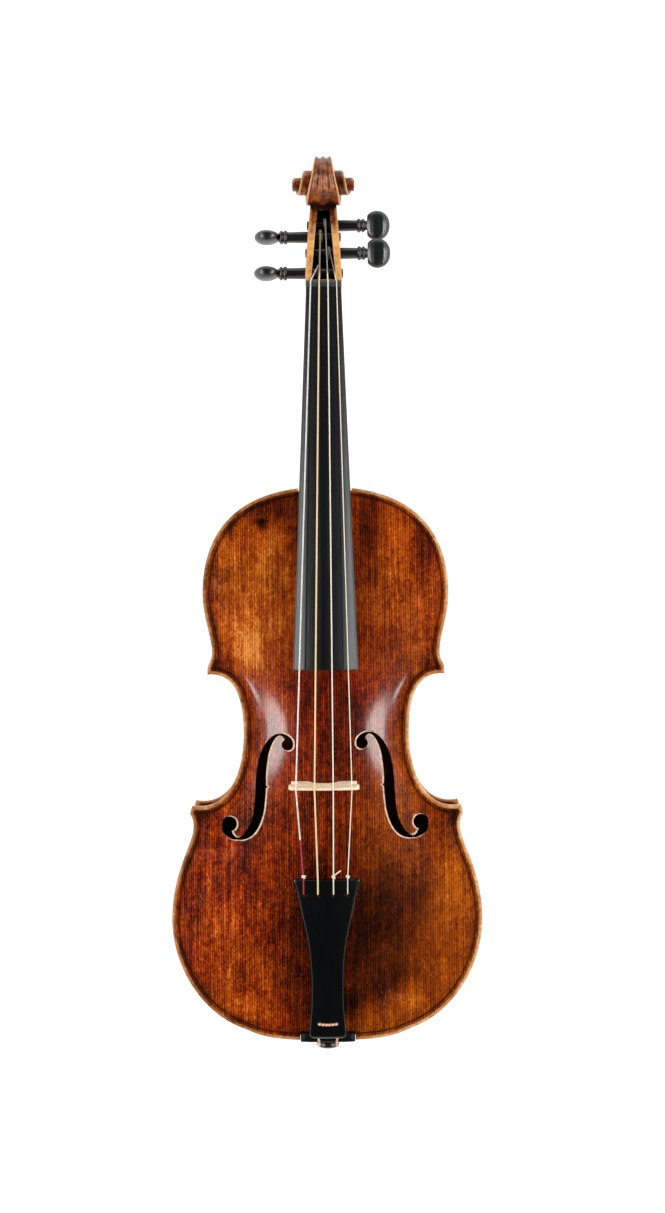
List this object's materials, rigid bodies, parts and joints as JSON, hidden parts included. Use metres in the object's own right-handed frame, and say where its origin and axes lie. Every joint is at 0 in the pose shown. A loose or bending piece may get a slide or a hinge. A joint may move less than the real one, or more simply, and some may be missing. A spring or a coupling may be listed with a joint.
{
  "type": "baroque violin",
  "caption": "Full-size baroque violin: arched spruce and maple sound box with f-holes, nailed neck with scroll, wedge fingerboard, gut strings, turning pegs, bridge and tailpiece.",
  "frame": {"origin": "crown of the back, on the middle line, where the violin rests on a table", "axes": "+Y from the end button to the scroll, +Z out of the top plate, +X to the treble side"},
  "size_m": [0.1998, 0.5838, 0.0946],
  "materials": {
    "varnished_spruce": "oil varnish, satin, worn",
    "varnished_maple": "oil varnish, satin, worn",
    "bare_willow": "unfinished",
    "bare_spruce": "unfinished",
    "iron": "forged, dull",
    "ebony": "polished black",
    "bridge_maple": "unfinished, smooth",
    "silver_winding": "close-wound wire",
    "tail_gut": "twisted gut, waxed",
    "gut": "twisted gut, polished"
  },
  "bodies": {
    "violin": {"top_plate": "varnished_spruce", "back_plate": "varnished_maple", "lower_rib_left": "varnished_maple", "centre_rib_left": "varnished_maple", "upper_rib_left": "varnished_maple", "lower_rib_right": "varnished_maple", "centre_rib_right": "varnished_maple", "upper_rib_right": "varnished_maple", "lower_block": "bare_willow", "upper_block": "bare_willow", "lower_corner_block_left": "bare_willow", "upper_corner_block_left": "bare_willow", "lower_corner_block_right": "bare_willow", "upper_corner_block_right": "bare_willow", "lower_lining_top_left": "bare_willow", "lower_lining_back_left": "bare_willow", "centre_lining_top_left": "bare_willow", "centre_lining_back_left": "bare_willow", "upper_lining_top_left": "bare_willow", "upper_lining_back_left": "bare_willow", "lower_lining_top_right": "bare_willow", "lower_lining_back_right": "bare_willow", "centre_lining_top_right": "bare_willow", "centre_lining_back_right": "bare_willow", "upper_lining_top_right": "bare_willow", "upper_lining_back_right": "bare_willow", "bass_bar": "bare_spruce", "sound_post": "bare_spruce", "neck_with_scroll": "varnished_maple", "neck_nail_left": "iron", "neck_nail_middle": "iron", "neck_nail_right": "iron", "fingerboard": "ebony", "nut": "ebony", "string_g": "silver_winding", "string_d": "gut", "string_a": "gut", "string_e": "gut", "bridge": "bridge_maple", "tailpiece": "ebony", "tail_gut": "tail_gut", "saddle": "ebony", "end_button": "ebony"},
    "peg_g_wound": {"peg_g": "ebony", "winding_g": "silver_winding"},
    "peg_d_wound": {"peg_d": "ebony", "winding_d": "gut"},
    "peg_a_wound": {"peg_a": "ebony", "winding_a": "gut"},
    "peg_e_wound": {"peg_e": "ebony", "winding_e": "gut"}
  },
  "joints": [
    {"name": "peg_g_turn", "type": "hinge", "parent": "violin", "child": "peg_g_wound", "pos_m": [0, 0.3183, 0.0385], "axis": [-1, 0, 0], "continuous": true},
    {"name": "peg_d_turn", "type": "hinge", "parent": "violin", "child": "peg_d_wound", "pos_m": [0, 0.344, 0.0276], "axis": [-1, 0, 0], "continuous": true},
    {"name": "peg_a_turn", "type": "hinge", "parent": "violin", "child": "peg_a_wound", "pos_m": [0, 0.3526, 0.0226], "axis": [1, 0, 0], "continuous": true},
    {"name": "peg_e_turn", "type": "hinge", "parent": "violin", "child": "peg_e_wound", "pos_m": [0, 0.3324, 0.0326], "axis": [1, 0, 0], "continuous": true}
  ]
}
